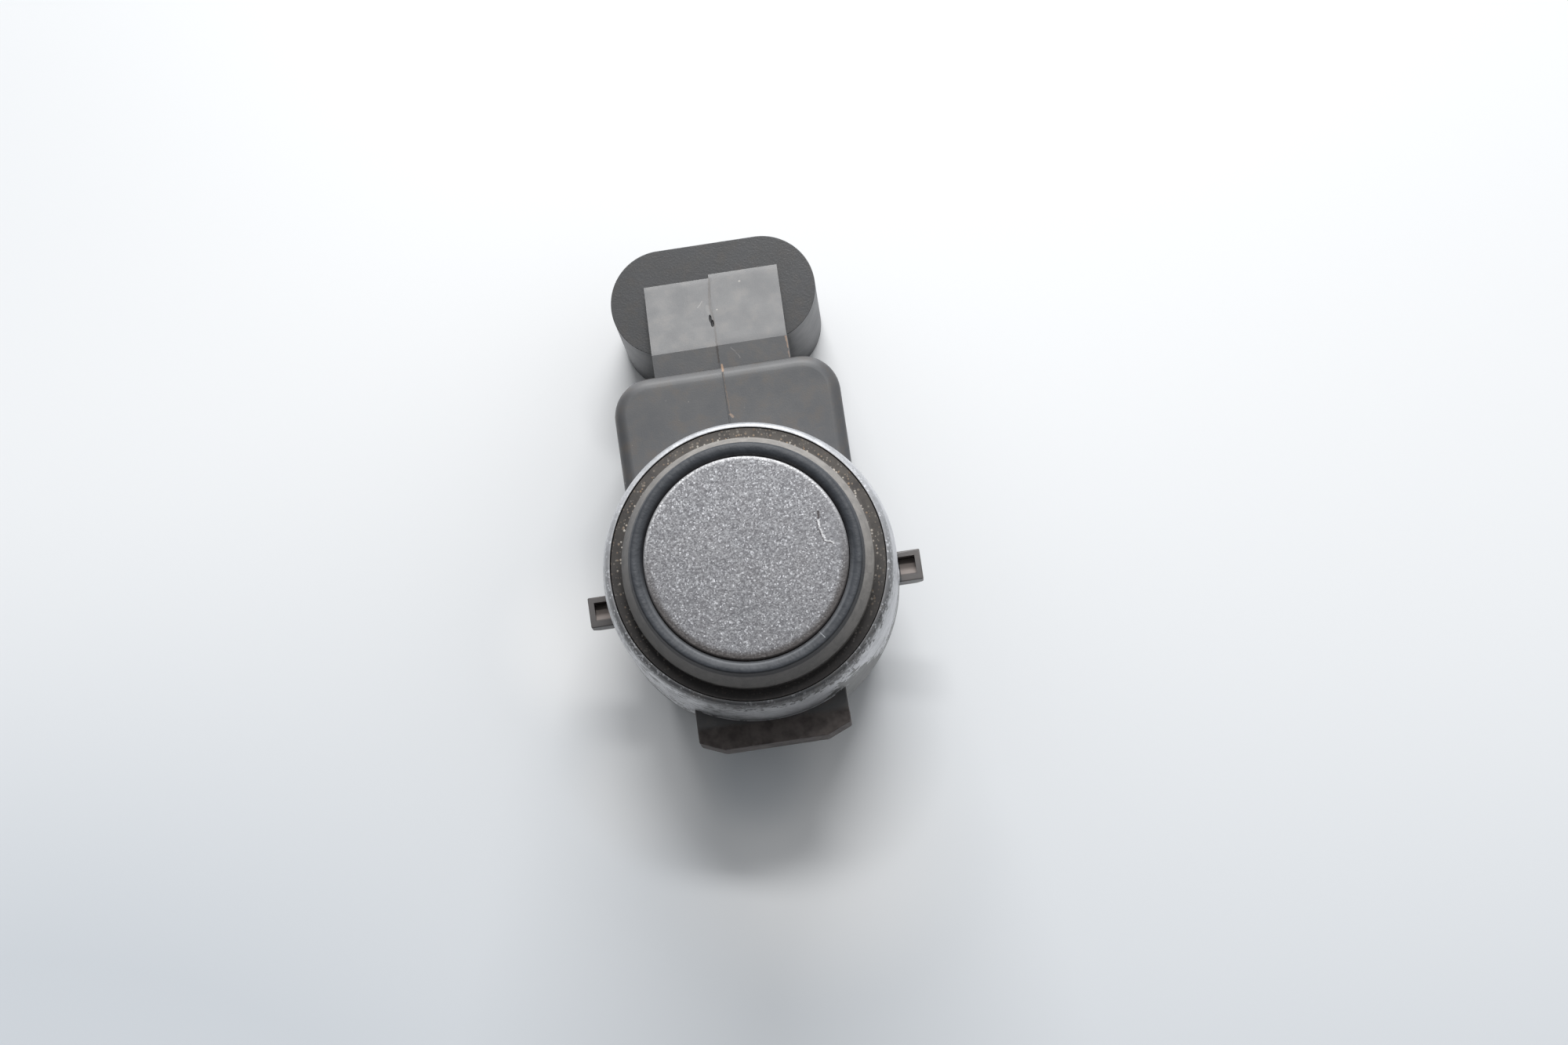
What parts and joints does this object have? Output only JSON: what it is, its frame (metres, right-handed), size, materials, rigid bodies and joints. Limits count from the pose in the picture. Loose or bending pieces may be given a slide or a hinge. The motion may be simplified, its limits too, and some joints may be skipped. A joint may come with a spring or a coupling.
{
  "type": "parking sensor",
  "caption": "Ultrasonic parking sensor with a round painted membrane in a soft ring, a black plastic barrel and box, and a plug socket beside it.",
  "frame": {"origin": "centre of the painted membrane's front face", "axes": "+Z out of the membrane, the way the sound leaves; +Y from the barrel towards the plug socket; +X to the right with +Y up, seen from the front"},
  "size_m": [0.0262, 0.0417, 0.028],
  "materials": {
    "housing_plastic": "black moulded plastic, silver paint overspray on the barrel's rim",
    "silver_paint": "coarse metallic silver paint, worn",
    "silicone": "soft dark silicone, dusty",
    "support_rubber": "matt",
    "piezo_ceramic": "fired ceramic",
    "foam": "open-cell damping felt",
    "copper_wire": "enamelled copper",
    "tinned_brass": "tinned",
    "laminate": "green solder resist",
    "chip_plastic": "moulded epoxy",
    "ferrite": "sintered ferrite",
    "capacitor_ceramic": "fired ceramic",
    "resistor_ceramic": "glazed black",
    "potting": "cast sealing compound, slightly glossy"
  },
  "bodies": {
    "root": {"housing": "housing_plastic", "membrane_cup": "silver_paint", "decoupling_ring": "silicone", "support_pad": "support_rubber", "piezo_disc": "piezo_ceramic", "damping_foam": "foam", "lead_wire_signal": "copper_wire", "lead_wire_ground": "copper_wire", "circuit_board": "laminate", "control_chip": "chip_plastic", "transformer_foot": "chip_plastic", "transformer_core": "ferrite", "capacitor_1": "capacitor_ceramic", "capacitor_2": "capacitor_ceramic", "capacitor_3": "capacitor_ceramic", "resistor_1": "resistor_ceramic", "resistor_2": "resistor_ceramic", "terminal_supply": "tinned_brass", "terminal_signal": "tinned_brass", "terminal_ground": "tinned_brass", "sealing_compound": "potting"}
  },
  "joints": []
}
